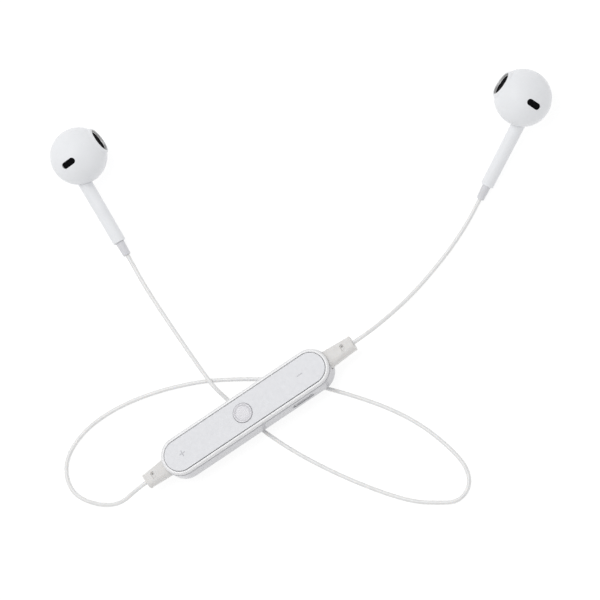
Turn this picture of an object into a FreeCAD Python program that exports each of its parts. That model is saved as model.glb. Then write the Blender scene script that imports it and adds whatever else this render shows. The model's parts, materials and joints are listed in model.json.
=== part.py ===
# Neckband earphones: two wired earbuds and an inline control case that hangs behind the neck.
#
# Frame: millimetres, +Z up. The origin is the middle of the control case's underside. +X runs
# along the case towards the right-hand bud, +Y towards the buds. The case lies on two strands of
# its own cord, so the surface that everything rests on is a little below the origin.
import FreeCAD
import Part
import Sketcher
import math
import os

from FreeCAD import Placement, Rotation, Vector

X_AXIS, Y_AXIS, Z_AXIS = Vector(1, 0, 0), Vector(0, 1, 0), Vector(0, 0, 1)
SIDES = {"left": 1, "right": -1}          # which way along its own X a bud's nozzle points

# ---------------------------------------------------------------- driving dimensions
SIZES = {
    # control case: a deep lower shell and a shallow frame on top of it
    "case_length": 58.0, "case_width": 12.0, "case_height": 8.0, "parting_height": 6.7,
    "case_wall": 1.0, "case_floor": 1.0, "bottom_round": 1.2, "top_round": 0.8,
    "cavity_round": 0.8, "skirt_depth": 0.8, "skirt_wall": 0.4, "skirt_gap": 0.05,
    "tool_over": 1.0, "joint_overlap": 0.1,
    # flat recess under the case for an adhesive clip
    "recess_length": 20.0, "recess_width": 6.0, "recess_depth": 0.15, "recess_place": -16.5,
    # rocker plate, its hinge pins, its nubs and its two marks
    "plate_length": 55.5, "plate_width": 9.4, "plate_top": 8.05, "plate_thickness": 0.9,
    "plate_gap": 0.15, "plate_round": 0.12, "pin_radius": 0.35, "pin_gap": 0.03,
    "pin_height": 7.5, "pin_reach": 0.5, "pin_end_gap": 0.1, "nub_radius": 0.9,
    "plus_place": -22.1, "minus_place": 19.6, "mark_length": 2.0, "mark_width": 0.35,
    "mark_depth": 0.08,
    # centre button, in line with the hinge pins
    "button_place": -0.6, "button_radius": 2.9, "button_gap": 0.15, "button_rise": 0.35,
    "button_round": 0.25, "flange_radius": 3.5, "flange_thickness": 0.3, "dish_radius": 2.25,
    "dish_depth": 0.12,
    # three tact switches under the plate: one at the button, one to each side of it
    "switch_reach": 21.2, "switch_size": 3.0, "switch_height": 0.9, "switch_skin": 0.1,
    "chamber_radius": 1.2, "chamber_floor": 0.05, "plunger_radius": 0.75,
    "plunger_gap": 0.05, "plunger_top": 6.35, "collar_radius": 1.1, "collar_bottom": 5.35,
    "collar_thickness": 0.15, "press_gap": 0.05,
    # circuit board and what it carries
    "board_length": 46.8, "board_width": 8.6, "board_thickness": 0.8, "board_height": 4.2,
    "board_gap": 0.1, "notch_depth": 3.8,
    "battery_length": 30.0, "battery_width": 8.4, "battery_thickness": 2.75,
    "battery_place": -3.5, "battery_height": 1.35, "cell_corner": 0.6, "pad_length": 24.0,
    "pad_width": 6.0, "lead_radius": 0.3, "lead_offset": 2.0, "lead_run": 2.0,
    "lead_height": 3.0,
    # charging socket in the lower shell's side
    "port_place": 16.0, "port_height": 3.8, "port_width": 7.4, "port_thickness": 2.35,
    "port_depth": 5.0, "port_skin": 0.25, "port_setback": 0.3, "port_gap": 0.05,
    "port_corner": 0.75, "mouth_corner": 0.55,
    "tongue_width": 3.9, "tongue_thickness": 0.6, "tongue_length": 3.4,
    # strain reliefs in the two ends of the case
    "relief_place": 28.0, "relief_height": 4.6, "relief_width": 5.8, "relief_depth": 4.2,
    "relief_corner": 1.6, "relief_tip_width": 4.35, "relief_tip_depth": 3.5,
    "relief_tip_corner": 1.3, "left_relief_length": 8.0, "right_relief_length": 9.5,
    "left_relief_yaw": 2.0, "relief_inside": 2.1, "relief_gap": 0.17,
    "relief_gap_high": 0.05, "notch_rise": 1.0, "lip_thickness": 0.8,
    "lip_width": 4.6, "lip_depth": 3.8, "head_width": 6.9, "head_depth": 3.4,
    "head_thickness": 0.8, "head_corner": 0.5, "head_drop": 0.2, "left_eyelet_place": 5.0,
    "right_eyelet_place": 6.3, "eyelet_length": 2.4, "eyelet_width": 1.2,
    "eyelet_depth": 0.65, "eyelet_hole_radius": 0.4, "eyelet_hole_offset": 0.55,
    "eyelet_hole_depth": 0.75, "knot_radius": 0.8, "knot_length": 1.5, "knot_place": 4.5,
    # cord
    "cord_diameter": 1.2, "cord_gap": 0.05,
    # earbud: head, nozzle and vent
    "head_radius": 8.5, "shell_wall": 0.8, "seam_height": -2.2, "nozzle_reach": 8.1,
    "nozzle_tilt": 18.0, "nozzle_major": 3.65, "nozzle_minor": 2.75, "collar_wall": 0.35,
    "collar_depth": 1.8, "bezel_wall": 0.3, "bezel_depth": 1.2, "bezel_setback": 0.05,
    "mesh_setback": 0.5, "mesh_thickness": 0.25, "vent_x": 3.75,
    "vent_length": 4.7, "vent_width": 2.0, "vent_setback": 0.3, "fit_gap": 0.03,
    # earbud: stem, sleeve and cord anchor
    "stem_x": 2.4, "stem_z": -1.6, "stem_start": 6.9, "stem_end": 28.0,
    "stem_top_radius": 2.05, "stem_end_radius": 1.92, "stem_bore": 1.33,
    "stem_notch_lead": 0.4, "sleeve_length": 4.4, "sleeve_inside": 1.2,
    "sleeve_radius": 1.28, "sleeve_tip_radius": 1.15,
    "anchor_radius": 1.0, "anchor_length": 2.2, "wire_radius": 0.18, "wire_spacing": 0.4,
    "wire_inset": 0.5,
    # earbud: loudspeaker, heights from the head's centre
    "yoke_radius": 3.6, "yoke_inner": 3.1, "yoke_bottom": -5.4, "yoke_top": -3.4,
    "yoke_floor": 0.5, "magnet_radius": 2.5, "magnet_thickness": 1.0,
    "pole_thickness": 0.4, "coil_inner": 2.65, "coil_outer": 2.9, "coil_bottom": -4.2,
    "coil_top": -3.2, "web_bottom": -3.9, "web_top": -3.4, "rim_top": -2.7,
    "rim_inner": 5.9, "rim_outer": 6.8, "film_thickness": 0.1, "film_radius": 6.6,
    "dome_radius": 2.6, "dome_rise": 0.7, "gasket_inner": 6.0, "gasket_thickness": 0.3,
}

# Where each bud lies: head centre in X and Y, then the turns that lay it down, in degrees:
# about the vertical, the head's lift over the stem, and the roll about the stem.
BUD_PLACES = {
    "left": {"x": -2.35, "y": 93.8, "yaw": -2.8, "lift": 10.85, "roll": 8.3},
    "right": {"x": 118.3, "y": 32.4, "yaw": -62.6, "lift": 9.0, "roll": 18.1},
}
# What differs on the two face shells: the vent's place along the bud's Y and its turn in
# degrees, and how far the nozzle turns towards the head's top.
FACES = {
    "left": {"vent_y": -1.2, "vent_turn": 4.0, "nozzle_lift": 5.5},
    "right": {"vent_y": 0.5, "vent_turn": 8.0, "nozzle_lift": 8.0},
}

# Small parts on the circuit board: place in X and Y, then length, width and height.
BOARD_PARTS = {
    "radio_chip": (-8.0, 0.0, 5.0, 5.0, 0.8),
    "crystal_can": (-13.4, 0.0, 2.5, 2.0, 0.6),
    "microphone": (7.6, 1.6, 3.7, 2.9, 1.0),
    "status_led": (-17.0, 2.6, 1.6, 0.8, 0.6),
    "chip_antenna": (14.6, 2.6, 3.2, 1.6, 1.1),
}
PASSIVE_PLACES = ((-4.4, 2.9), (-4.4, -2.9), (-11.2, 2.9), (-11.2, -2.9), (-15.4, -2.2),
                  (4.4, -2.8), (6.4, -2.8), (8.4, -2.8), (10.4, -2.8), (11.0, 2.6))
PASSIVE_SIZE = (1.0, 0.5, 0.5)

# Corners of the cords' routes in X and Y. The first ones carry their own height, because the
# cord comes down there from the case to the surface; the others lie on that surface.
LEFT_EXIT = ((-46.6, -0.9, 2.6), (-53.3, 3.9, 0.3))
LEFT_LOOP = ((-57.8, 11.3), (-55.3, 19.7), (-47.2, 24.5), (-36.1, 25.7), (-22.2, 23.3),
             (-7.8, 17.9), (2.7, 11.6), (10.2, 6.4), (17.3, 0.7), (25.6, -8.1), (35.5, -20.5),
             (42.0, -32.2), (45.7, -44.6), (45.7, -50.9), (43.1, -54.9), (38.3, -56.1),
             (33.6, -53.3), (26.5, -48.1), (16.8, -35.6), (7.8, -21.2), (2.1, -9.6),
             (-1.3, -0.2), (-3.3, 7.4))
LEFT_HUMP = ((-4.9, 13.2), (-5.4, 19.2))
LEFT_RISE = ((-6.1, 28.0), (-6.6, 38.5), (-6.9, 47.6), (-6.9, 54.4))
RIGHT_EXIT = ((46.6, 0.8, 2.9), (54.7, 2.6, 0.4))
RIGHT_RUN = ((62.8, 4.7), (71.4, 7.3), (78.2, 9.8), (84.2, 12.6))
HUMP_LIFT = 1.5                           # how far the crossing strand climbs over the other
EXIT_RUN = 3.6                            # straight run between a relief and the first corner
ARC_SHARE = 0.45                          # share of the shorter run that each arc takes up
TINY = 1e-4

doc = FreeCAD.newDocument("neckband_earphones")
sheet = doc.addObject("Spreadsheet::Sheet", "sizes")
for line, (alias, number) in enumerate(SIZES.items(), start=1):
    sheet.set(f"A{line}", alias)
    sheet.set(f"B{line}", str(number))
    sheet.setAlias(f"B{line}", alias)
doc.recompute()

pieces = {}                               # label of each finished sub-part: its object


def size(alias):
    """The number that the sheet holds under this alias."""
    return float(getattr(sheet, alias))


def bound(formula):
    """A sheet formula: every alias in it is read from the sheet."""
    words = formula.replace("(", " ( ").replace(")", " ) ").split()
    return " ".join("sizes." + word if word in SIZES else word for word in words)


def finish(label, obj):
    """Give a finished sub-part its label and keep it for export."""
    obj.Label = label
    pieces[label] = obj
    return obj


# ---------------------------------------------------------------- sketches and body features
def new_body(name):
    return doc.addObject("PartDesign::Body", name)


def new_sketch(body, role="XY_Plane", x=None, y=None, z=None):
    """A sketch on one of its body's own planes, shifted in that plane by x and y, off it by z."""
    sketch = body.newObject("Sketcher::SketchObject", body.Name + "_sketch")
    plane = next(feature for feature in body.Origin.OriginFeatures if feature.Role == role)
    sketch.AttachmentSupport = [(plane, "")]
    sketch.MapMode = "FlatFace"
    for axis, formula in (("x", x), ("y", y), ("z", z)):
        if formula is not None:
            sketch.setExpression(f"AttachmentOffset.Base.{axis}", bound(formula))
    return sketch


def bind_last(sketch, constraint, formula):
    """Add a size constraint whose value the sheet drives."""
    index = sketch.addConstraint(constraint)
    sketch.setExpression(f"Constraints[{index}]", bound(formula))


def draw_circle(sketch, radius):
    ring = sketch.addGeometry(Part.Circle(Vector(0, 0, 0), Z_AXIS, 1.0))
    sketch.addConstraint(Sketcher.Constraint("Coincident", ring, 3, -1, 1))
    bind_last(sketch, Sketcher.Constraint("Radius", ring, 1.0), radius)


def draw_slot(sketch, length, width):
    """A slot with round ends, its long axis along the sketch's X, centred on its origin."""
    half, radius = 3.0, 1.0               # starting sizes, before the sheet drives them
    top = sketch.addGeometry(Part.LineSegment(Vector(-half, radius), Vector(half, radius)))
    right = sketch.addGeometry(Part.ArcOfCircle(
        Part.Circle(Vector(half, 0), Z_AXIS, radius), -math.pi / 2, math.pi / 2))
    low = sketch.addGeometry(Part.LineSegment(Vector(half, -radius), Vector(-half, -radius)))
    left = sketch.addGeometry(Part.ArcOfCircle(
        Part.Circle(Vector(-half, 0), Z_AXIS, radius), math.pi / 2, 3 * math.pi / 2))
    for joint in ((top, 2, right, 2), (right, 1, low, 1), (low, 2, left, 2), (left, 1, top, 1)):
        sketch.addConstraint(Sketcher.Constraint("Tangent", *joint))
    sketch.addConstraint(Sketcher.Constraint("Horizontal", top))
    sketch.addConstraint(Sketcher.Constraint("Horizontal", low))
    sketch.addConstraint(Sketcher.Constraint("Symmetric", left, 3, right, 3, -1, 1))
    bind_last(sketch, Sketcher.Constraint("Radius", right, radius), f"( {width} ) / 2")
    bind_last(sketch, Sketcher.Constraint("DistanceX", left, 3, right, 3, 2 * half),
              f"( {length} ) - ( {width} )")


def draw_rounded_box(sketch, width, depth, corner):
    """A rectangle with four equal round corners, centred on the sketch's origin."""
    across, up, radius = 2.0, 1.5, 0.5    # starting sizes, before the sheet drives them
    corners = ((across, up, 0), (-across, up, 1), (-across, -up, 2), (across, -up, 3))
    arcs = [sketch.addGeometry(Part.ArcOfCircle(Part.Circle(Vector(x, y), Z_AXIS, radius),
                                                turn * math.pi / 2, (turn + 1) * math.pi / 2))
            for x, y, turn in corners]
    sides = []
    for turn in range(4):
        start = sketch.getPoint(arcs[turn], 2)
        end = sketch.getPoint(arcs[(turn + 1) % 4], 1)
        sides.append(sketch.addGeometry(Part.LineSegment(start, end)))
    for turn in range(4):
        sketch.addConstraint(Sketcher.Constraint("Tangent", arcs[turn], 2, sides[turn], 1))
        sketch.addConstraint(
            Sketcher.Constraint("Tangent", sides[turn], 2, arcs[(turn + 1) % 4], 1))
        sketch.addConstraint(
            Sketcher.Constraint("Vertical" if turn % 2 else "Horizontal", sides[turn]))
        if turn:
            sketch.addConstraint(Sketcher.Constraint("Equal", arcs[0], arcs[turn]))
    sketch.addConstraint(Sketcher.Constraint("Symmetric", arcs[0], 3, arcs[2], 3, -1, 1))
    bind_last(sketch, Sketcher.Constraint("Radius", arcs[0], radius), corner)
    bind_last(sketch, Sketcher.Constraint("DistanceX", arcs[1], 3, arcs[0], 3, 2 * across),
              f"( {width} ) - 2 * ( {corner} )")
    bind_last(sketch, Sketcher.Constraint("DistanceY", arcs[3], 3, arcs[0], 3, 2 * up),
              f"( {depth} ) - 2 * ( {corner} )")


def extrude(body, kind, sketch, length, backwards=False, both_ways=False):
    """A Pad or Pocket of this sketch; a Pad leaves along the sketch's normal, a Pocket against it."""
    feature = body.newObject("PartDesign::" + kind, body.Name + "_" + kind.lower())
    feature.Profile = sketch
    feature.setExpression("Length", bound(length))
    feature.Reversed = backwards
    if both_ways:
        feature.SideType = "Symmetric"
    doc.recompute()
    return feature


def round_edges(body, radius, chosen):
    """Fillet the edges of the body's tip that the test picks."""
    tip = body.Tip
    names = [f"Edge{number}" for number, edge in enumerate(tip.Shape.Edges, start=1)
             if chosen(edge.BoundBox)]
    feature = body.newObject("PartDesign::Fillet", body.Name + "_fillet")
    feature.Base = (tip, names)
    feature.setExpression("Radius", bound(radius))
    doc.recompute()
    return feature


def level(height):
    """A test for edges that lie flat at this height."""
    return lambda box: abs(box.ZMin - height) < TINY and abs(box.ZMax - height) < TINY


# ---------------------------------------------------------------- primitives and booleans
def primitive(kind, name, at=(0, 0, 0), turn=None, **formulas):
    obj = doc.addObject("Part::" + kind, name)
    for prop, formula in formulas.items():
        obj.setExpression(prop, bound(formula))
    obj.Placement = Placement(Vector(*at), turn or Rotation())
    return obj


def block(name, centre, length, width, height):
    """A Part::Box by the middle of its underside."""
    obj = primitive("Box", name, Length=length, Width=width, Height=height)
    doc.recompute()
    corner = Vector(obj.Length.Value / 2, obj.Width.Value / 2, 0)
    obj.Placement = Placement(Vector(*centre) - corner, Rotation())
    return obj


def ball(name, centre=(0, 0, 0), **formulas):
    """A sphere turned so that its poles and its seam keep off the nozzle and the vent."""
    turn = Rotation(X_AXIS, 90) * Rotation(Z_AXIS, -90)
    return primitive("Sphere", name, centre, turn, **formulas)


def cut(name, base, tool):
    obj = doc.addObject("Part::Cut", name)
    obj.Base, obj.Tool = base, tool
    return obj


def cut_all(name, base, tools):
    for number, tool in enumerate(tools, start=1):
        base = cut(f"{name}_cut{number}", base, tool)
    return base


def fuse(name, parts):
    obj = doc.addObject("Part::MultiFuse", name)
    obj.Shapes = list(parts)
    return obj


def common(name, parts):
    obj = doc.addObject("Part::MultiCommon", name)
    obj.Shapes = list(parts)
    return obj


def tube(name, bottom, inner, outer, height, at=(0, 0), turn=None):
    """A ring about Z: a cylinder with a cylinder cut out of it."""
    place = (at[0], at[1], bottom)
    solid = primitive("Cylinder", name + "_outside", place, turn, Radius=outer, Height=height)
    hole = primitive("Cylinder", name + "_inside", place, turn, Radius=inner, Height=height)
    return cut(name, solid, hole)


def ellipse_prism(name, major, minor, height, placement):
    """An elliptical rod standing on the placement's XY plane, its long axis along that Y."""
    outline = doc.addObject("Part::Ellipse", name + "_outline")
    outline.setExpression("MajorRadius", bound(major))
    outline.setExpression("MinorRadius", bound(minor))
    outline.Placement = placement.multiply(Placement(Vector(), Rotation(Z_AXIS, 90)))
    rod = doc.addObject("Part::Extrusion", name)
    rod.Base = outline
    rod.DirMode = "Custom"
    rod.Dir = placement.Rotation.multVec(Z_AXIS)
    rod.setExpression("LengthFwd", bound(height))
    rod.Solid = True
    return rod


def pill_prism(name, length, width, height, placement):
    """A rod of slot-shaped section along the placement's Z, its long axis along that X."""
    middle = primitive("Box", name + "_middle", Length=f"( {length} ) - ( {width} )",
                       Width=width, Height=height)
    doc.recompute()
    half = middle.Length.Value / 2
    shift = Vector(-half, -middle.Width.Value / 2, 0)
    middle.Placement = placement.multiply(Placement(shift, Rotation()))
    ends = []
    for sign in (-1, 1):
        end = primitive("Cylinder", f"{name}_end{sign + 1}", Radius=f"( {width} ) / 2",
                        Height=height)
        end.Placement = placement.multiply(Placement(Vector(sign * half, 0, 0), Rotation()))
        ends.append(end)
    return fuse(name, ends + [middle])


# ---------------------------------------------------------------- control case
def bottom_case():
    body = new_body("bottom_case")
    sketch = new_sketch(body)
    draw_slot(sketch, "case_length", "case_width")
    extrude(body, "Pad", sketch, "parting_height")
    round_edges(body, "bottom_round", level(0))
    cavity = new_sketch(body, z="parting_height")
    draw_slot(cavity, "case_length - 2 * case_wall", "case_width - 2 * case_wall")
    extrude(body, "Pocket", cavity, "parting_height - case_floor")
    round_edges(body, "cavity_round", level(size("case_floor")))
    notch = new_sketch(body, "YZ_Plane", y="relief_height + notch_rise")
    draw_rounded_box(notch, "relief_width + 2 * relief_gap",
                     "relief_depth + 2 * notch_rise + 2 * relief_gap_high", "relief_corner")
    extrude(body, "Pocket", notch, "case_length + 2 * tool_over", both_ways=True)
    port = new_sketch(body, "XZ_Plane", x="port_place", y="port_height",
                      z="case_width / 2 + tool_over")
    draw_rounded_box(port, "port_width + 2 * port_gap", "port_thickness + 2 * port_gap",
                     "port_corner")
    extrude(body, "Pocket", port, "tool_over + 2 * case_wall")
    recess = new_sketch(body, x="recess_place")
    draw_slot(recess, "recess_length", "recess_width")
    extrude(body, "Pocket", recess, "recess_depth", backwards=True)
    finish("bottom_case", body)


def top_case():
    body = new_body("top_case")
    ring = new_sketch(body, z="parting_height")
    draw_slot(ring, "case_length", "case_width")
    extrude(body, "Pad", ring, "case_height - parting_height")
    round_edges(body, "top_round", level(size("case_height")))
    skirt = new_sketch(body, z="parting_height")
    draw_slot(skirt, "case_length - 2 * case_wall - 2 * skirt_gap",
              "case_width - 2 * case_wall - 2 * skirt_gap")
    extrude(body, "Pad", skirt, "skirt_depth", backwards=True)
    inside = new_sketch(body, z="parting_height")
    draw_slot(inside, "case_length - 2 * case_wall - 2 * skirt_gap - 2 * skirt_wall",
              "case_width - 2 * case_wall - 2 * skirt_gap - 2 * skirt_wall")
    extrude(body, "Pocket", inside, "skirt_depth")
    window = new_sketch(body, z="case_height")
    draw_slot(window, "plate_length + 2 * plate_gap", "plate_width + 2 * plate_gap")
    extrude(body, "Pocket", window, "case_height - parting_height")
    bores = new_sketch(body, "XZ_Plane", x="button_place", y="pin_height")
    draw_circle(bores, "pin_radius + pin_gap")
    extrude(body, "Pocket", bores, "plate_width + 2 * pin_reach + 2 * pin_end_gap", both_ways=True)
    reliefs = new_sketch(body, "YZ_Plane", y="relief_height")
    draw_rounded_box(reliefs, "relief_width + 2 * relief_gap",
                     "relief_depth + 2 * relief_gap_high", "relief_corner")
    extrude(body, "Pocket", reliefs, "case_length + 2 * tool_over", both_ways=True)
    finish("top_case", body)


def rocker_plate():
    body = new_body("rocker_plate")
    outline = new_sketch(body, z="plate_top - plate_thickness")
    draw_slot(outline, "plate_length", "plate_width")
    extrude(body, "Pad", outline, "plate_thickness")
    round_edges(body, "plate_round", level(size("plate_top")))
    pins = new_sketch(body, "XZ_Plane", x="button_place", y="pin_height")
    draw_circle(pins, "pin_radius")
    extrude(body, "Pad", pins, "plate_width + 2 * pin_reach", both_ways=True)
    window = new_sketch(body, x="button_place", z="plate_top")
    draw_circle(window, "button_radius + button_gap")
    extrude(body, "Pocket", window, "plate_thickness")
    for sign in "-+":
        nub = new_sketch(body, x=f"button_place {sign} switch_reach",
                         z="plate_top - plate_thickness")
        draw_circle(nub, "nub_radius")
        extrude(body, "Pad", nub,
                "plate_top - plate_thickness - plunger_top - press_gap", backwards=True)
    for place, turn in (("plus_place", 0), ("plus_place", 90), ("minus_place", 0)):
        stroke = new_sketch(body, x=place, z="plate_top")
        stroke.AttachmentOffset = Placement(stroke.AttachmentOffset.Base,
                                            Rotation(Z_AXIS, turn))
        draw_slot(stroke, "mark_length", "mark_width")
        extrude(body, "Pocket", stroke, "mark_depth")
    finish("rocker_plate", body)


def centre_button():
    body = new_body("centre_button")
    flange = new_sketch(body, x="button_place", z="plunger_top + press_gap")
    draw_circle(flange, "flange_radius")
    extrude(body, "Pad", flange, "flange_thickness")
    cap = new_sketch(body, x="button_place", z="plunger_top + press_gap")
    draw_circle(cap, "button_radius")
    extrude(body, "Pad", cap, "plate_top + button_rise - plunger_top - press_gap")
    round_edges(body, "button_round", level(size("plate_top") + size("button_rise")))
    dish = new_sketch(body, x="button_place", z="plate_top + button_rise")
    draw_circle(dish, "dish_radius")
    extrude(body, "Pocket", dish, "dish_depth")
    finish("centre_button", body)


def switches():
    """Three tact switches: a body with a chamber, and a plunger held in it by its collar."""
    board_top = size("board_height") + size("board_thickness")
    for name, sign in (("plus", -1), ("centre", 0), ("minus", 1)):
        x = size("button_place") + sign * size("switch_reach")
        case = block(name + "_switch_block", (x, 0, board_top), "switch_size", "switch_size",
                     "switch_height")
        chamber = primitive("Cylinder", name + "_switch_chamber",
                            (x, 0, board_top + size("chamber_floor")), Radius="chamber_radius",
                            Height="switch_height - chamber_floor - switch_skin")
        mouth = primitive("Cylinder", name + "_switch_mouth", (x, 0, size("collar_bottom")),
                          Radius="plunger_radius + plunger_gap",
                          Height="plunger_top - collar_bottom")
        finish(name + "_switch_body", cut_all(name + "_switch", case, [chamber, mouth]))
        collar = primitive("Cylinder", name + "_collar", (x, 0, size("collar_bottom")),
                           Radius="collar_radius", Height="collar_thickness")
        rod = primitive("Cylinder", name + "_rod", (x, 0, size("collar_bottom")),
                        Radius="plunger_radius", Height="plunger_top - collar_bottom")
        finish(name + "_switch_plunger", fuse(name + "_plunger", [collar, rod]))


def circuit_board():
    """The board, with a cut-out that the charging socket sits in."""
    plate = block("board_blank", (0, 0, size("board_height")), "board_length", "board_width",
                  "board_thickness")
    below = size("board_height") - size("board_gap")
    notch = block("board_notch", (size("port_place"), -size("board_width") / 2, below),
                  "port_width + 2 * board_gap", "2 * notch_depth",
                  "board_thickness + 2 * board_gap")
    finish("circuit_board", cut("board_with_notch", plate, notch))
    board_top = size("board_height") + size("board_thickness")
    for name, (x, y, length, width, height) in BOARD_PARTS.items():
        finish(name, block(name + "_block", (x, y, board_top), str(length), str(width),
                           str(height)))
    length, width, height = (str(number) for number in PASSIVE_SIZE)
    chips = [block(f"passive_{number}", (x, y, board_top), length, width, height)
             for number, (x, y) in enumerate(PASSIVE_PLACES, start=1)]
    finish("board_passives", fuse("passives", chips))


def battery():
    cell = block("cell_block", (size("battery_place"), 0, size("battery_height")),
                 "battery_length", "battery_width", "battery_thickness")
    doc.recompute()
    rounded = doc.addObject("Part::Fillet", "cell_rounded")
    rounded.Base = cell
    upright = [number for number, edge in enumerate(cell.Shape.Edges, start=1)
               if edge.BoundBox.XLength < TINY and edge.BoundBox.YLength < TINY]
    corner = size("cell_corner")
    rounded.Edges = [(number, corner, corner) for number in upright]
    finish("battery_cell", rounded)
    finish("battery_pad", block("pad_block", (size("battery_place"), 0, size("case_floor")),
                                "pad_length", "pad_width", "battery_height - case_floor"))
    end = size("battery_place") - size("battery_length") / 2
    z = size("lead_height")
    leads = []
    for sign in (-1, 1):
        y = sign * size("lead_offset")
        corner = (end - size("lead_run"), y, z)
        along = primitive("Cylinder", f"lead_along{sign + 1}", (end, y, z),
                          Rotation(Y_AXIS, -90), Radius="lead_radius", Height="lead_run")
        bend = primitive("Sphere", f"lead_bend{sign + 1}", corner, Radius="lead_radius")
        up = primitive("Cylinder", f"lead_up{sign + 1}", corner, Radius="lead_radius",
                       Height="board_height - lead_height")
        leads += [along, bend, up]
    finish("battery_leads", fuse("leads", leads))


def charging_socket():
    """A metal shell with its mouth in the lower shell's side, and the contact tongue in it."""
    body = new_body("usb_shell")
    front = "case_width / 2 - port_setback"
    outline = new_sketch(body, "XZ_Plane", x="port_place", y="port_height", z=front)
    draw_rounded_box(outline, "port_width", "port_thickness", "port_corner")
    extrude(body, "Pad", outline, "port_depth", backwards=True)
    mouth = new_sketch(body, "XZ_Plane", x="port_place", y="port_height", z=front)
    draw_rounded_box(mouth, "port_width - 2 * port_skin", "port_thickness - 2 * port_skin",
                     "mouth_corner")
    extrude(body, "Pocket", mouth, "port_depth - port_skin")
    finish("usb_shell", body)
    back = -(size("case_width") / 2 - size("port_setback")) + size("port_depth")
    root = back - size("port_skin")
    middle = root - size("tongue_length") / 2
    low = size("port_height") - size("tongue_thickness") / 2
    finish("usb_tongue", block("tongue_block", (size("port_place"), middle, low),
                               "tongue_width", "tongue_length", "tongue_thickness"))


def relief_placement(side):
    """The relief's own X runs outwards along the cord, from the middle of the case's end wall."""
    yaw = 180 + size("left_relief_yaw") if side == "left" else 0
    end = -size("relief_place") if side == "left" else size("relief_place")
    return Placement(Vector(end, 0, size("relief_height")), Rotation(Z_AXIS, yaw))


def strain_relief(side):
    """A soft tapered relief: a head inside the case, a lip at its tip, an eyelet in its top."""
    body = new_body(side + "_relief")
    length, eyelet_place = side + "_relief_length", side + "_eyelet_place"
    root = new_sketch(body, "YZ_Plane", z="0 - relief_inside")
    draw_rounded_box(root, "relief_width", "relief_depth", "relief_corner")
    tip = new_sketch(body, "YZ_Plane", z=f"{length} - lip_thickness / 2")
    draw_rounded_box(tip, "relief_tip_width", "relief_tip_depth", "relief_tip_corner")
    taper = body.newObject("PartDesign::AdditiveLoft", side + "_relief_taper")
    taper.Profile = root
    taper.Sections = [tip]
    taper.Ruled = True
    doc.recompute()
    lip = new_sketch(body, "YZ_Plane", z=length)
    draw_rounded_box(lip, "lip_width", "lip_depth", "relief_corner")
    extrude(body, "Pad", lip, "lip_thickness", backwards=True)
    head = new_sketch(body, "YZ_Plane", y="0 - head_drop", z="0 - relief_inside")
    draw_rounded_box(head, "head_width", "head_depth", "head_corner")
    extrude(body, "Pad", head, "head_thickness", backwards=True)
    eyelet = new_sketch(body, x=eyelet_place, z="relief_depth / 2")
    eyelet.AttachmentOffset = Placement(eyelet.AttachmentOffset.Base, Rotation(Z_AXIS, 90))
    draw_slot(eyelet, "eyelet_length", "eyelet_width")
    extrude(body, "Pocket", eyelet, "eyelet_depth")
    hole_side = "eyelet_hole_offset" if side == "right" else "0 - eyelet_hole_offset"
    hole = new_sketch(body, x=eyelet_place, y=hole_side, z="relief_depth / 2")
    draw_circle(hole, "eyelet_hole_radius")
    extrude(body, "Pocket", hole, "eyelet_depth + eyelet_hole_depth")
    bore = new_sketch(body, "YZ_Plane", z=length)
    draw_circle(bore, "cord_diameter / 2")
    extrude(body, "Pocket", bore, f"{length} + relief_inside + head_thickness")
    body.Placement = relief_placement(side)
    finish(side + "_strain_relief", body)

    knot = primitive("Cylinder", side + "_knot_crimp", (-size("knot_place"), 0, 0),
                     Rotation(Y_AXIS, 90), Radius="knot_radius", Height="knot_length")
    tail = primitive("Cylinder", side + "_knot_tail", (-size("knot_place"), 0, 0),
                     Rotation(Y_AXIS, 90), Radius="cord_diameter / 2",
                     Height=f"knot_place + {length}")
    tied = fuse(side + "_knot", [knot, tail])
    tied.Placement = relief_placement(side)
    finish(side + "_cord_knot", tied)


# ---------------------------------------------------------------- earbuds
def floor_height():
    """The surface that the cord and the buds rest on."""
    return -size("cord_diameter") - size("cord_gap")


def bud_placement(side):
    """The bud's own frame: Z out of its face, Y up its stem to the head, centre of the head at 0."""
    place = BUD_PLACES[side]
    turn = Rotation(Z_AXIS, place["yaw"]) * Rotation(X_AXIS, place["lift"])
    turn = turn * Rotation(Y_AXIS, place["roll"])
    height = floor_height() + size("head_radius")
    return Placement(Vector(place["x"], place["y"], height), turn)


def nozzle_placement(side):
    """From the head's centre, Z along the nozzle and Y along the long axis of its oval."""
    sign = SIDES[side]
    turn = Rotation(Z_AXIS, sign * FACES[side]["nozzle_lift"])
    turn = turn * Rotation(Y_AXIS, sign * (90 - size("nozzle_tilt")))
    return Placement(Vector(), turn)


def vent_placement(side):
    """From the head's centre, Z out through the vent and X along its slot."""
    sign = SIDES[side]
    x, y = -sign * size("vent_x"), FACES[side]["vent_y"]
    out = Vector(x, y, math.sqrt(size("head_radius") ** 2 - x * x - y * y)).normalize()
    along = Rotation(Z_AXIS, sign * FACES[side]["vent_turn"])
    return Placement(Vector(), Rotation(Z_AXIS, out) * along)


def nozzle_rod(side, name, major, minor, depth, setback):
    """An elliptical rod along the nozzle that ends short of its face by the setback."""
    start = Vector(0, 0, size("nozzle_reach") - size(depth) - setback)
    placement = nozzle_placement(side).multiply(Placement(start, Rotation()))
    return ellipse_prism(f"{side}_{name}", major, minor, depth, placement)


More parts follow.
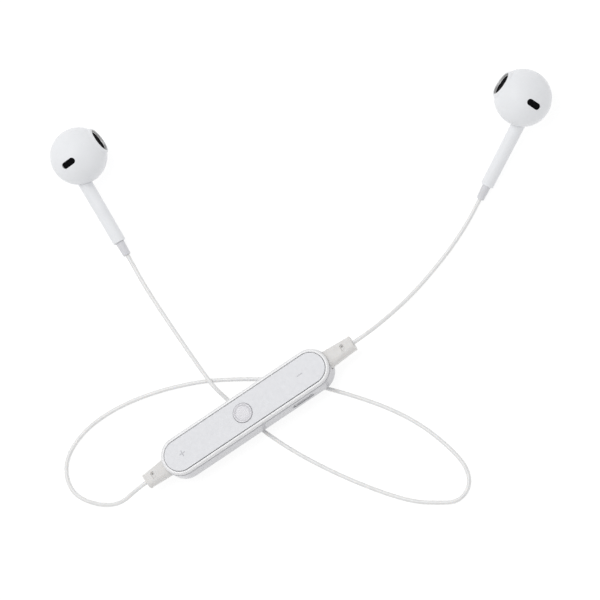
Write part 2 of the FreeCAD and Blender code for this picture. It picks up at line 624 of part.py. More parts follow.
def head_shells(side):
    """The face shell carries the nozzle and the vent; the back shell carries the stem."""
    sphere = ball(side + "_head_ball", Radius="head_radius")
    hollow = ball(side + "_head_hollow", Radius="head_radius - shell_wall")
    skin = cut(side + "_head_skin", sphere, hollow)
    box_size = 4 * size("head_radius")
    below = block(side + "_below_seam", (0, 0, size("seam_height") - box_size),
                  "4 * head_radius", "4 * head_radius", "4 * head_radius")
    above = block(side + "_above_seam", (0, 0, size("seam_height")),
                  "4 * head_radius", "4 * head_radius", "4 * head_radius")

    collar = ellipse_prism(
        side + "_nozzle_collar", "nozzle_major + collar_wall", "nozzle_minor + collar_wall",
        "collar_depth + tool_over", nozzle_placement(side).multiply(Placement(
            Vector(0, 0, size("nozzle_reach") - size("collar_depth")), Rotation())))
    shell = fuse(side + "_face_with_collar", [skin, collar])

    face = primitive("Cylinder", side + "_nozzle_face", Radius="head_radius",
                     Height="head_radius")
    face.Placement = nozzle_placement(side).multiply(
        Placement(Vector(0, 0, size("nozzle_reach")), Rotation()))
    inmost = Vector(0, 0, size("nozzle_reach") - size("collar_depth") - size("tool_over"))
    opening = ellipse_prism(
        side + "_nozzle_opening", "nozzle_major", "nozzle_minor",
        "collar_depth + 2 * tool_over",
        nozzle_placement(side).multiply(Placement(inmost, Rotation())))
    slot = pill_prism(side + "_vent_slot", "vent_length", "vent_width", "2 * head_radius",
                      vent_placement(side))
    notch = primitive("Cylinder", side + "_stem_notch",
                      (-SIDES[side] * size("stem_x"),
                       size("stem_notch_lead") - size("stem_start"), size("stem_z")),
                      Rotation(X_AXIS, 90), Radius="stem_top_radius + fit_gap",
                      Height="head_radius")
    front = cut_all(side + "_front", shell, [below, face, opening, slot, notch])
    front.Placement = bud_placement(side)
    finish(side + "_front_shell", front)

    cap = cut(side + "_back_cap", skin, above)
    stem = primitive("Cone", side + "_stem",
                     (-SIDES[side] * size("stem_x"), -size("stem_start"), size("stem_z")),
                     Rotation(X_AXIS, 90), Radius1="stem_top_radius",
                     Radius2="stem_end_radius", Height="stem_end - stem_start")
    bore = primitive("Cylinder", side + "_stem_bore",
                     (-SIDES[side] * size("stem_x"), size("tool_over") - size("stem_start"),
                      size("stem_z")),
                     Rotation(X_AXIS, 90), Radius="stem_bore",
                     Height="stem_end - stem_start + 2 * tool_over")
    back = cut(side + "_back", fuse(side + "_back_with_stem", [cap, stem]), bore)
    back.Placement = bud_placement(side)
    finish(side + "_rear_shell", back)


def nozzle_and_vent(side):
    """The nozzle's grey ring and its black mesh, and the black mesh behind the vent slot."""
    gap, wall = "fit_gap", "bezel_wall"
    setback = size("bezel_setback")
    ring = cut(side + "_bezel",
               nozzle_rod(side, "bezel_outside", f"nozzle_major - {gap}",
                          f"nozzle_minor - {gap}", "bezel_depth", setback),
               nozzle_rod(side, "bezel_inside", f"nozzle_major - {gap} - {wall}",
                          f"nozzle_minor - {gap} - {wall}", "bezel_depth", setback))
    ring.Placement = bud_placement(side)
    finish(side + "_nozzle_bezel", ring)

    mesh = nozzle_rod(side, "mesh_rod", f"nozzle_major - 2 * {gap} - {wall}",
                      f"nozzle_minor - 2 * {gap} - {wall}", "mesh_thickness",
                      size("mesh_setback"))
    limit = ball(side + "_mesh_limit", Radius="head_radius")
    mesh = common(side + "_mesh", [mesh, limit])
    mesh.Placement = bud_placement(side)
    finish(side + "_nozzle_mesh", mesh)

    outside = ball(side + "_vent_outside", Radius="head_radius - vent_setback")
    inside = ball(side + "_vent_inside", Radius="head_radius - shell_wall + fit_gap")
    pill = pill_prism(side + "_vent_pill", "vent_length - 2 * fit_gap",
                      "vent_width - 2 * fit_gap", "2 * head_radius", vent_placement(side))
    vent = common(side + "_vent", [cut(side + "_vent_skin", outside, inside), pill])
    vent.Placement = bud_placement(side)
    finish(side + "_vent_mesh", vent)


def stem_parts(side):
    """The grey sleeve, the knotted cord end that it holds, and the leads to the loudspeaker."""
    x, z = -SIDES[side] * size("stem_x"), size("stem_z")
    down = Rotation(X_AXIS, 90)
    start = size("stem_end") - size("sleeve_inside")
    outside = primitive("Cone", side + "_sleeve_outside", (x, -start, z), down,
                        Radius1="sleeve_radius", Radius2="sleeve_tip_radius",
                        Height="sleeve_length + sleeve_inside")
    bore = primitive("Cylinder", side + "_sleeve_bore", (x, -start, z), down,
                     Radius="cord_diameter / 2", Height="sleeve_length + sleeve_inside")
    sleeve = cut(side + "_sleeve", outside, bore)
    sleeve.Placement = bud_placement(side)
    finish(side + "_cord_sleeve", sleeve)

    crimp = primitive("Cylinder", side + "_crimp", (x, -start + size("anchor_length"), z), down,
                      Radius="anchor_radius", Height="anchor_length")
    tail = primitive("Cylinder", side + "_tail", (x, -start, z), down,
                     Radius="cord_diameter / 2", Height="sleeve_length + sleeve_inside")
    anchor = fuse(side + "_anchor", [crimp, tail])
    anchor.Placement = bud_placement(side)
    finish(side + "_cord_anchor", anchor)

    wires = []
    turn_at = size("rim_outer") - size("wire_inset")
    for number, offset in enumerate((-size("wire_spacing"), size("wire_spacing"))):
        near = start - size("anchor_length")
        along = primitive("Cylinder", f"{side}_wire_along{number}", (x + offset, -turn_at, z),
                          down, Radius="wire_radius")
        along.Height = near - turn_at
        bend = primitive("Sphere", f"{side}_wire_bend{number}", (x + offset, -turn_at, z),
                         Radius="wire_radius")
        foot = size("rim_top") + size("film_thickness") + size("gasket_thickness")
        drop = primitive("Cylinder", f"{side}_wire_drop{number}", (x + offset, -turn_at, foot),
                         Radius="wire_radius")
        drop.Height = z - foot
        wires += [along, bend, drop]
    leads = fuse(side + "_wires", wires)
    leads.Placement = bud_placement(side)
    finish(side + "_speaker_leads", leads)


def loudspeaker(side):
    """The driver's pieces, stacked along the bud's Z: yoke, magnet, pole, coil, frame, film."""
    made = {}
    cup = primitive("Cylinder", side + "_cup", (0, 0, size("yoke_bottom")),
                    Radius="yoke_radius", Height="yoke_top - yoke_bottom")
    well = primitive("Cylinder", side + "_well", (0, 0, size("yoke_bottom") + size("yoke_floor")),
                     Radius="yoke_inner", Height="yoke_top - yoke_bottom")
    made["yoke_cup"] = cut(side + "_yoke", cup, well)
    seat = size("yoke_bottom") + size("yoke_floor")
    made["magnet"] = primitive("Cylinder", side + "_magnet_disc", (0, 0, seat),
                               Radius="magnet_radius", Height="magnet_thickness")
    made["pole_plate"] = primitive("Cylinder", side + "_pole_disc",
                                   (0, 0, seat + size("magnet_thickness")),
                                   Radius="magnet_radius", Height="pole_thickness")
    made["voice_coil"] = tube(side + "_coil", size("coil_bottom"), "coil_inner", "coil_outer",
                              "coil_top - coil_bottom")
    web = tube(side + "_web", size("web_bottom"), "yoke_radius + fit_gap",
               "rim_inner + joint_overlap", "web_top - web_bottom")
    rim = tube(side + "_rim", size("web_top") - size("joint_overlap"), "rim_inner",
               "rim_outer", "rim_top - web_top + joint_overlap")
    made["driver_frame"] = fuse(side + "_frame", [web, rim])

    flat = tube(side + "_film_flat", size("rim_top"), "dome_radius - 2 * joint_overlap",
                "film_radius", "film_thickness")
    former = tube(side + "_film_former", size("coil_top"), "coil_inner", "coil_outer",
                  "rim_top - coil_top + film_thickness")
    curve = "( dome_radius * dome_radius + dome_rise * dome_rise ) / ( 2 * dome_rise )"
    reach = (size("dome_radius") ** 2 + size("dome_rise") ** 2) / (2 * size("dome_rise"))
    centre = (0, 0, size("rim_top") + size("dome_rise") - reach)
    dome_outside = primitive("Sphere", side + "_dome_outside", centre, Radius=curve)
    dome_inside = primitive("Sphere", side + "_dome_inside", centre,
                            Radius=curve + " - film_thickness")
    limit = primitive("Cylinder", side + "_dome_limit", (0, 0, size("rim_top")),
                      Radius="dome_radius + joint_overlap", Height="dome_rise + tool_over")
    dome = common(side + "_dome", [cut(side + "_dome_skin", dome_outside, dome_inside), limit])
    made["diaphragm"] = fuse(side + "_film", [flat, former, dome])
    made["driver_gasket"] = tube(side + "_gasket", size("rim_top") + size("film_thickness"),
                                 "gasket_inner", "rim_outer", "gasket_thickness")
    for name, obj in made.items():
        obj.Placement = bud_placement(side).multiply(obj.Placement)
        finish(f"{side}_{name}", obj)


# ---------------------------------------------------------------- cords
def cord_path(points):
    """Straight runs joined by tangent arcs, each as large as its two runs allow."""
    edges, radii = [], []
    start = points[0]
    for before, corner, after in zip(points, points[1:], points[2:]):
        inward = (before - corner).normalize()
        outward = (after - corner).normalize()
        turn = math.pi - inward.getAngle(outward)
        reach = ARC_SHARE * min(before.distanceToPoint(corner), after.distanceToPoint(corner))
        radius = reach / math.tan(turn / 2)
        first, last = corner + inward * reach, corner + outward * reach
        toward = (inward + outward).normalize()
        middle = corner + toward * (radius / math.cos(turn / 2) - radius)
        edges.append(Part.LineSegment(start, first).toShape())
        edges.append(Part.Arc(first, middle, last).toShape())
        radii.append(radius)
        start = last
    edges.append(Part.LineSegment(start, points[-1]).toShape())
    return Part.Wire(edges), radii


def cord(label, points):
    """The cord's own solid, from the face of its relief to the face of its sleeve."""
    path, radii = cord_path(points)
    radius = size("cord_diameter") / 2
    heading = points[1] - points[0]
    section = Part.Wire(Part.Circle(points[0], heading, radius).toShape())
    solid = path.makePipeShell([section], True, False)
    obj = doc.addObject("Part::Feature", label + "_solid")
    obj.Shape = solid
    finish(label, obj)
    expected = math.pi * radius ** 2 * path.Length
    lowest = solid.optimalBoundingBox().ZMin
    print(f"{label}: length {path.Length:.1f} mm, volume / (section x length) "
          f"{solid.Volume / expected:.5f}, lowest point {lowest:.3f}")
    print("  radii " + " ".join(f"{value:.1f}" for value in radii))


def sleeve_points(side, ground):
    """The corner where the sleeve's axis meets the lying cord, and the sleeve's end face."""
    x, z = -SIDES[side] * size("stem_x"), size("stem_z")
    reach = size("stem_end") + size("sleeve_length")
    place = bud_placement(side)
    face = place.multVec(Vector(x, -reach, z))
    away = place.Rotation.multVec(Vector(0, -1, 0))
    return [face + away * ((ground - face.z) / away.z), face]


def relief_points(side):
    """The relief's end face, and the corner straight out of it."""
    place = relief_placement(side)
    reach = size(side + "_relief_length")
    return [place.multVec(Vector(reach + run, 0, 0)) for run in (0, EXIT_RUN)]


def cords():
    ground = floor_height() + size("cord_diameter") / 2
    lying = [Vector(x, y, ground) for x, y in LEFT_LOOP]
    hump = [Vector(x, y, ground + HUMP_LIFT) for x, y in LEFT_HUMP]
    rise = [Vector(x, y, ground) for x, y in LEFT_RISE]
    coming_down = [Vector(*point) for point in LEFT_EXIT]
    cord("neck_cord", relief_points("left") + coming_down + lying + hump + rise
         + sleeve_points("left", ground))
    coming_down = [Vector(*point) for point in RIGHT_EXIT]
    lying = [Vector(x, y, ground) for x, y in RIGHT_RUN]
    cord("right_cord", relief_points("right") + coming_down + lying
         + sleeve_points("right", ground))


# ---------------------------------------------------------------- build, check and write
bottom_case()
top_case()
rocker_plate()
centre_button()
switches()
circuit_board()
battery()
charging_socket()
for side in SIDES:
    strain_relief(side)
    head_shells(side)
    nozzle_and_vent(side)
    stem_parts(side)
    loudspeaker(side)
doc.recompute()
cords()
doc.recompute()

faults = [obj.Name for obj in doc.Objects if {"Invalid", "Error"} & set(obj.State)]
for label, obj in pieces.items():
    if obj.Shape.isNull() or not obj.Shape.isValid() or not obj.Shape.Solids:
        faults.append(label)
if faults:
    raise SystemExit("failed objects: " + ", ".join(faults))

os.makedirs("parts", exist_ok=True)
for label, obj in pieces.items():
    obj.Shape.exportStep(os.path.join("parts", label + ".step"))
print(f"{len(pieces)} sub-parts written")
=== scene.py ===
import json
import math

import bmesh
import bpy
from mathutils import Matrix, Vector


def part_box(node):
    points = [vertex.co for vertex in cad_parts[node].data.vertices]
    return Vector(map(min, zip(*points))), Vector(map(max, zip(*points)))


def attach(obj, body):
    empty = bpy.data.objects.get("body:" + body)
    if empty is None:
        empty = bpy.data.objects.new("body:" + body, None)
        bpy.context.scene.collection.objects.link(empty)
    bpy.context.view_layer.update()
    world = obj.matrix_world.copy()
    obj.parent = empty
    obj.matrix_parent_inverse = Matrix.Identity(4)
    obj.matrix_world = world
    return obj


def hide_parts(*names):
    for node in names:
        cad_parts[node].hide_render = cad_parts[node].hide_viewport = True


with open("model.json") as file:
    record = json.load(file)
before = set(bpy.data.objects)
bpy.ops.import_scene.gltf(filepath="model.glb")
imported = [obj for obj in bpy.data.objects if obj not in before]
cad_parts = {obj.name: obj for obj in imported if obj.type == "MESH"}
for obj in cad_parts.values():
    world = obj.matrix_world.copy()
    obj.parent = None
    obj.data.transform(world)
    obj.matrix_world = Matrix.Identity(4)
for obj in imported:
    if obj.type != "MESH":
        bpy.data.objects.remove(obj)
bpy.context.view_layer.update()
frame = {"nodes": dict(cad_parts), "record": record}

MM = 0.001                                # pieces are drawn in millimetres, then scaled by this
GROUND = -1.25                            # height of the surface that everything lies on

# ---------------------------------------------------------------- sizes, in millimetres
LOWER_LOW, LOWER_HIGH = (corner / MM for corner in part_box("bottom_case"))
UPPER_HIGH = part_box("top_case")[1] / MM
CASE_LENGTH = LOWER_HIGH.x - LOWER_LOW.x
CASE_WIDTH = LOWER_HIGH.y - LOWER_LOW.y
PARTING = LOWER_HIGH.z                    # where the lower shell and the top frame meet
CASE_TOP = UPPER_HIGH.z
CASE_WALL = 1.0
BOTTOM_ROUND = 1.2
TOP_ROUND = 0.55
FRAME_INSET = 0.15                        # how far the top frame stands back from the shell
GROOVE = 0.45                             # depth of the groove between the two
RECESS = {"x": -16.5, "length": 20.0, "width": 6.0, "depth": 0.15}

PLATE = {"length": 55.46, "width": 9.36, "low": 7.15, "top": 8.05, "round": 0.12}
WINDOW = {"length": 55.8, "ledge": 7.62, "ledge_width": 0.1, "ledge_depth": 0.3}
MARKS = {"plus": -22.1, "minus": 19.6}
MARK = {"length": 1.9, "width": 0.32, "depth": 0.08}
BUTTON = {"x": -0.6, "radius": 2.9, "hole": 3.0, "top": 8.4, "rim": 0.24}
FLANGE = {"radius": 3.5, "low": 6.4, "high": 6.7, "edge": 0.05}    # under the button's cap
# the button's shallow dish: how far in from its edge, and how far below its top
BUTTON_DISH = ((0.35, 0.0), (0.45, 0.01), (0.6, 0.07), (0.75, 0.14), (0.9, 0.17), (1.1, 0.16),
               (1.3, 0.13), (1.5, 0.12), (2.0, 0.12), (2.9, 0.12))

PORT = {"x": 16.0, "z": 3.8, "width": 7.5, "height": 2.45, "corner": 0.8}

RELIEF_START = 28.0
RELIEF_HEIGHT = 4.6
RELIEF_ROOT = {"width": 5.8, "depth": 4.2, "corner": 1.6}
RELIEF_GAP = 0.12
RELIEFS = {
    "left": {"length": 8.0, "eyelet": 5.0, "yaw": 182.0, "start": -RELIEF_START, "hole": -1},
    "right": {"length": 9.5, "eyelet": 6.3, "yaw": 0.0, "start": RELIEF_START, "hole": 1},
}
# section of a relief at each distance before its tip: width, depth and corner radius
RELIEF_TIP = (
    (1.1, 4.52, 3.62, 1.35), (0.88, 4.42, 3.55, 1.3), (0.72, 4.46, 3.6, 1.32),
    (0.55, 4.58, 3.76, 1.36), (0.2, 4.6, 3.8, 1.36), (0.07, 4.5, 3.7, 1.3), (0.0, 4.3, 3.5, 1.2))
EYELET = {"length": 2.4, "width": 1.2, "floor": 1.5, "hole_radius": 0.34, "hole_offset": 0.55,
          "hole_floor": 0.95}

HEAD_RADIUS = 8.5
SHELL_WALL = 0.8
SEAM = {"z": -2.2, "gap": 0.05}
NOZZLE = {"reach": 8.1, "tilt": 18.0, "major": 3.65, "minor": 2.75, "collar": 0.35}
MESH_DEPTH = -0.55                        # the mesh's middle, from the nozzle's face
COLLAR_FADE = (0.94, 1.34)                # where the flat face starts and ends its blend
VENT = {"x": 3.75, "length": 4.7, "width": 2.0}
FACES = {
    "left": {"vent_y": -1.2, "vent_turn": 4.0, "nozzle_lift": 5.5},
    "right": {"vent_y": 0.5, "vent_turn": 8.0, "nozzle_lift": 8.0},
}
STEM = {"x": 2.4, "z": -1.6, "start": 6.9, "end": 28.0, "top": 2.05, "tip": 1.92}
SLEEVE = {"start": 26.8, "end": 32.4, "top": 1.28, "tip": 1.15}
CORD_DIAMETER = 1.2

SIDES = {"left": 1, "right": -1}          # which way along its own X a bud's nozzle points
BUD_PLACES = {
    "left": {"x": -2.35, "y": 93.8, "yaw": -2.8, "lift": 10.85, "roll": 8.3},
    "right": {"x": 118.3, "y": 32.4, "yaw": -62.6, "lift": 9.0, "roll": 18.1},
}

# ---------------------------------------------------------------- cord routes, in metres
LEFT_ROUTE = (
    (-0.035995, -0.000279, 0.0046), (-0.039593, -0.000405, 0.0046),
    (-0.0466, -0.0009, 0.0026), (-0.0533, 0.0039, 0.0003),
    (-0.0578, 0.0113, -0.00065), (-0.0553, 0.0197, -0.00065), (-0.0472, 0.0245, -0.00065),
    (-0.0361, 0.0257, -0.00065), (-0.0222, 0.0233, -0.00065), (-0.0078, 0.0179, -0.00065),
    (0.0027, 0.0116, -0.00065), (0.0102, 0.0064, -0.00065), (0.0173, 0.0007, -0.00065),
    (0.0256, -0.0081, -0.00065), (0.0355, -0.0205, -0.00065), (0.0420, -0.0322, -0.00065),
    (0.0457, -0.0446, -0.00065), (0.0457, -0.0509, -0.00065), (0.0431, -0.0549, -0.00065),
    (0.0383, -0.0561, -0.00065), (0.0336, -0.0533, -0.00065), (0.0265, -0.0481, -0.00065),
    (0.0168, -0.0356, -0.00065), (0.0078, -0.0212, -0.00065), (0.0021, -0.0096, -0.00065),
    (-0.0013, -0.0002, -0.00065), (-0.0033, 0.0074, -0.00065), (-0.0049, 0.0132, 0.00085),
    (-0.0054, 0.0192, 0.00085), (-0.0061, 0.0280, -0.00065), (-0.0066, 0.0385, -0.00065),
    (-0.0069, 0.0476, -0.00065), (-0.0069, 0.0544, -0.00065),
    (-0.006645, 0.059321, -0.00065), (-0.006496, 0.062377, -0.000064))
RIGHT_ROUTE = (
    (0.0375, 0.0, 0.0046), (0.0411, 0.0, 0.0046), (0.0466, 0.0008, 0.0029),
    (0.0547, 0.0026, 0.0004), (0.0628, 0.0047, -0.00065), (0.0714, 0.0073, -0.00065),
    (0.0782, 0.0098, -0.00065), (0.0842, 0.0126, -0.00065),
    (0.087701, 0.014529, -0.00065), (0.091025, 0.016252, -0.000057))

# ---------------------------------------------------------------- camera
AZIMUTH = 24.4
ELEVATION = 72.0
ROLL = 57.19
AIM = Vector((0.03044, 0.02071, 0.00175))
VIEW_WIDTH = 0.17586
LENS = 600.0                              # millimetres: next to no perspective
SENSOR = 36.0


def turn(axis, degrees):
    return Matrix.Rotation(math.radians(degrees), 4, axis)


def place(x, y, z):
    return Matrix.Translation((x, y, z))


def make_camera():
    azimuth, elevation = math.radians(AZIMUTH), math.radians(ELEVATION)
    back = Vector((math.sin(azimuth) * math.cos(elevation),
                   -math.cos(azimuth) * math.cos(elevation), math.sin(elevation)))
    right = Vector((math.cos(azimuth), math.sin(azimuth), 0))
    up = back.cross(right)
    level = Matrix((right, up, back)).transposed().to_4x4()
    data = bpy.data.cameras.new("camera")
    data.lens = LENS
    data.sensor_width = SENSOR
    data.clip_end = 20
    camera = bpy.data.objects.new("camera", data)
    camera.matrix_world = (Matrix.Translation(AIM + back * (VIEW_WIDTH * LENS / SENSOR))
                           @ level @ turn("Z", -ROLL))
    bpy.context.scene.collection.objects.link(camera)
    bpy.context.scene.camera = camera


# ---------------------------------------------------------------- materials
def shader(name, color, roughness, metallic=0.0, **sockets):
    """A new material and its Principled shader, with what is the same all over on its sockets."""
    material = bpy.data.materials.new(name)
    material.use_nodes = True
    principled = material.node_tree.nodes["Principled BSDF"]
    principled.inputs["Base Color"].default_value = (*color, 1)
    principled.inputs["Roughness"].default_value = roughness
    principled.inputs["Metallic"].default_value = metallic
    for socket, value in sockets.items():
        principled.inputs[socket.replace("_", " ")].default_value = value
    return material, principled


def noise(material, scale, detail, stretch=None):
    """A noise texture in the part's own coordinates, in waves per metre."""
    nodes, links = material.node_tree.nodes, material.node_tree.links
    coordinates = nodes.new("ShaderNodeTexCoord")
    texture = nodes.new("ShaderNodeTexNoise")
    texture.inputs["Scale"].default_value = scale
    texture.inputs["Detail"].default_value = detail
    source = coordinates.outputs["Object"]
    if stretch:
        mapping = nodes.new("ShaderNodeMapping")
        mapping.inputs["Scale"].default_value = stretch
        links.new(source, mapping.inputs["Vector"])
        source = mapping.outputs["Vector"]
    links.new(source, texture.inputs["Vector"])
    return texture.outputs["Fac"]


def ramp(material, source, low, high, start=0.35, end=0.65):
    """Blend from one value or colour to another as the source goes from start to end."""
    nodes, links = material.node_tree.nodes, material.node_tree.links
    if isinstance(low, tuple):
        node = nodes.new("ShaderNodeValToRGB")
        node.color_ramp.elements[0].position = start
        node.color_ramp.elements[1].position = end
        node.color_ramp.elements[0].color = (*low, 1)
        node.color_ramp.elements[1].color = (*high, 1)
        links.new(source, node.inputs["Fac"])
        return node.outputs["Color"]
    node = nodes.new("ShaderNodeMapRange")
    for socket, value in (("From Min", start), ("From Max", end), ("To Min", low),
                          ("To Max", high)):
        node.inputs[socket].default_value = value
    links.new(source, node.inputs["Value"])
    return node.outputs["Result"]


def bump(material, principled, source, distance):
    nodes, links = material.node_tree.nodes, material.node_tree.links
    node = nodes.new("ShaderNodeBump")
    node.inputs["Distance"].default_value = distance
    node.inputs["Strength"].default_value = 1.0
    links.new(source, node.inputs["Height"])
    links.new(node.outputs["Normal"], principled.inputs["Normal"])


def tinted(color, factor):
    return tuple(min(1.0, channel * factor) for channel in color)


def moulded(name, color, roughness, coat=0.0, grain=4000, depth=2e-6, variation=0.01,
            specular=0.5):
    """Moulded plastic: faint mottling, uneven polish and the fine skin of the mould."""
    material, principled = shader(name, color, roughness, Coat_Weight=coat,
                                  Coat_Roughness=0.06, Subsurface_Weight=0.06,
                                  Subsurface_Scale=0.001, Specular_IOR_Level=specular)
    principled.inputs["Subsurface Radius"].default_value = (1.0, 0.95, 0.9)
    links = material.node_tree.links
    mottle = ramp(material, noise(material, 220, 4), tinted(color, 1 - variation),
                  tinted(color, 1 + variation))
    links.new(mottle, principled.inputs["Base Color"])
    polish = ramp(material, noise(material, 900, 5), roughness * 0.85, roughness * 1.2)
    links.new(polish, principled.inputs["Roughness"])
    bump(material, principled, noise(material, grain, 3), depth)
    return material


def elastomer(name, color, roughness, grain=9000, depth=6e-6, sheen=0.12, specular=0.5):
    """Soft matte rubber with a fine dry skin."""
    material, principled = shader(name, color, roughness, Sheen_Weight=sheen,
                                  Sheen_Roughness=0.5, Subsurface_Weight=0.12,
                                  Subsurface_Scale=0.001, Specular_IOR_Level=specular)
    principled.inputs["Subsurface Radius"].default_value = (1.0, 0.9, 0.8)
    links = material.node_tree.links
    mottle = ramp(material, noise(material, 500, 5), tinted(color, 0.97), tinted(color, 1.02))
    links.new(mottle, principled.inputs["Base Color"])
    skin = ramp(material, noise(material, 2500, 4), roughness * 0.9, min(1.0, roughness * 1.12))
    links.new(skin, principled.inputs["Roughness"])
    bump(material, principled, noise(material, grain, 4), depth)
    return material


def metal(name, color, roughness):
    """Drawn or plated metal with fine lines along it."""
    material, principled = shader(name, color, roughness, metallic=1.0)
    links = material.node_tree.links
    lines = noise(material, 1500, 5, stretch=(1, 1, 12))
    links.new(ramp(material, lines, roughness * 0.8, roughness * 1.3),
              principled.inputs["Roughness"])
    links.new(ramp(material, lines, tinted(color, 0.92), tinted(color, 1.05)),
              principled.inputs["Base Color"])
    bump(material, principled, lines, 1.5e-6)
    return material


MATERIALS = {
    "gloss_white": moulded("gloss_white", (0.73, 0.73, 0.74), 0.22, coat=0.3),
    "plate_white": moulded("plate_white", (0.665, 0.67, 0.695), 0.34, grain=7000, depth=1.5e-6,
                           variation=0.006),
    # painted shade: the lower shell is the same white plastic as the top frame, its colour
    # darkened to stand for the shade on its side walls
    "lower_shell_white": moulded("lower_shell_white", (0.52, 0.52, 0.545), 0.22, coat=0.25),
    "bud_white": moulded("bud_white", (0.775, 0.785, 0.805), 0.32, specular=0.15),
    "soft_cream": elastomer("soft_cream", (0.68, 0.67, 0.66), 0.55),
    "cord_jacket": elastomer("cord_jacket", (0.73, 0.73, 0.73), 0.34, grain=5000, depth=3e-6,
                             sheen=0.0, specular=1.0),
    "sleeve_grey": elastomer("sleeve_grey", (0.64, 0.64, 0.665), 0.55),
    "bezel_grey": metal("bezel_grey", (0.42, 0.42, 0.42), 0.4),
    "mesh_black": moulded("mesh_black", (0.004, 0.004, 0.005), 0.7, grain=16000, depth=4e-6,
                          specular=0.12),
    "board_green": moulded("board_green", (0.02, 0.14, 0.05), 0.3),
    "foil_silver": metal("foil_silver", (0.72, 0.73, 0.75), 0.35),
    "foam_grey": elastomer("foam_grey", (0.08, 0.08, 0.09), 0.9),
    "wire_copper": metal("wire_copper", (0.72, 0.35, 0.18), 0.3),
    "bright_steel": metal("bright_steel", (0.92, 0.92, 0.93), 0.6),
    "moulded_black": moulded("moulded_black", (0.02, 0.02, 0.022), 0.35),
    "led_white": moulded("led_white", (0.85, 0.85, 0.7), 0.15),
    "ceramic_grey": moulded("ceramic_grey", (0.28, 0.24, 0.19), 0.6),
    "film_clear": moulded("film_clear", (0.5, 0.44, 0.28), 0.2),
    "button_white": moulded("button_white", (0.605, 0.6, 0.63), 0.24, coat=0.25),
    # painted highlight: the nozzle's bead is the ring's metal made lighter, standing for the
    # light line along the ring's inner edge
    "bead_highlight_silver": metal("bead_highlight_silver", (0.75, 0.75, 0.76), 0.3),
    "mark_grey": moulded("mark_grey", (0.57, 0.57, 0.6), 0.5),
}


# ---------------------------------------------------------------- outlines, in millimetres
ARC_STEPS = 28                            # in each round end of a slot
CORNER_STEPS = 8                          # in each corner of a box
OVAL_STEPS = 96


def slot_ring(length, width, z):
    """A slot with round ends, long axis along X."""
    reach, radius = (length - width) / 2, width / 2
    points = []
    for end, start in ((1, -90), (-1, 90)):
        for step in range(ARC_STEPS + 1):
            angle = math.radians(start + 180 * step / ARC_STEPS)
            points.append(Vector((end * reach + radius * math.cos(angle),
                                  radius * math.sin(angle), z)))
    return points


def box_ring(width, depth, corner):
    """A rectangle with round corners in the XY plane."""
    points = []
    for across, up, start in ((1, 1, 0), (-1, 1, 90), (-1, -1, 180), (1, -1, 270)):
        for step in range(CORNER_STEPS + 1):
            angle = math.radians(start + 90 * step / CORNER_STEPS)
            points.append(Vector((across * (width / 2 - corner) + corner * math.cos(angle),
                                  up * (depth / 2 - corner) + corner * math.sin(angle), 0)))
    return points


def oval_ring(major, minor, z):
    """An ellipse whose long axis is along Y."""
    angles = [2 * math.pi * step / OVAL_STEPS for step in range(OVAL_STEPS)]
    return [Vector((minor * math.cos(angle), major * math.sin(angle), z)) for angle in angles]


def rounding(radius, start, end, steps=6):
    """Points of an arc about the origin, from one angle to another, in degrees."""
    angles = [math.radians(start + (end - start) * step / steps) for step in range(steps + 1)]
    return [(radius * math.cos(angle), radius * math.sin(angle)) for angle in angles]


# ---------------------------------------------------------------- meshes
def loft(rings, start_cap=True, end_cap=True, closed=False):
    """Quads between rings that have the same number of points."""
    bm = bmesh.new()
    loops = [[bm.verts.new(point) for point in ring] for ring in rings]
    following = loops[1:] + loops[:1] if closed else loops[1:]
    count = len(rings[0])
    for low, high in zip(loops, following):
        for here in range(count):
            ahead = (here + 1) % count
            bm.faces.new((low[here], low[ahead], high[ahead], high[here]))
    if start_cap and not closed:
        bm.faces.new(list(reversed(loops[0])))
    if end_cap and not closed:
        bm.faces.new(loops[-1])
    bmesh.ops.remove_doubles(bm, verts=bm.verts[:], dist=1e-5)
    bmesh.ops.recalc_face_normals(bm, faces=bm.faces[:])
    return bm


def spin(profile, steps):
    """The rings that (radius, height) points draw as they turn about Z."""
    angles = [2 * math.pi * step / steps for step in range(steps)]
    return [[Vector((radius * math.cos(angle), radius * math.sin(angle), z))
             for angle in angles] for radius, z in profile]


def lathe(profile, steps=96):
    """A solid of revolution about Z from (radius, height) points; a radius of 0 closes it."""
    return loft(spin(profile, steps), start_cap=False, end_cap=False)


def mesh_of(name, bm, matrix=None):
    """A mesh in metres from one in millimetres, put in place by the matrix."""
    if matrix is not None:
        bmesh.ops.transform(bm, matrix=matrix, verts=bm.verts[:])
    bmesh.ops.scale(bm, vec=(MM, MM, MM), verts=bm.verts[:])
    mesh = bpy.data.meshes.new(name)
    bm.to_mesh(mesh)
    bm.free()
    return mesh


def solid(name, bm, matrix=None):
    obj = bpy.data.objects.new(name, mesh_of(name, bm, matrix))
    bpy.context.scene.collection.objects.link(obj)
    return obj


def put(obj, matrix):
    """Move a piece that was drawn elsewhere, by a matrix in millimetres."""
    obj.data.transform(Matrix.Scale(MM, 4) @ matrix @ Matrix.Scale(1 / MM, 4))
    return obj


def settle(obj):
    """Apply the object's modifiers to its mesh."""
    bpy.context.view_layer.update()
    graph = bpy.context.evaluated_depsgraph_get()
    mesh = bpy.data.meshes.new_from_object(obj.evaluated_get(graph))
    obj.modifiers.clear()
    obj.data = mesh


def carve(obj, tools, operation="DIFFERENCE"):
    """Cut the tools out of a solid, or join them to it, and remove them."""
    for tool in tools:
        modifier = obj.modifiers.new("carve", "BOOLEAN")
        modifier.operation = operation
        modifier.solver = "EXACT"
        modifier.object = tool
        settle(obj)
        bpy.data.objects.remove(tool)


def soften(obj, width):
    """Round every sharp edge, by a width in millimetres."""
    modifier = obj.modifiers.new("soften", "BEVEL")
    modifier.width = width * MM
    modifier.segments = 3
    modifier.limit_method = "ANGLE"
    modifier.angle_limit = math.radians(32)
    modifier.miter_outer = "MITER_ARC"
    settle(obj)


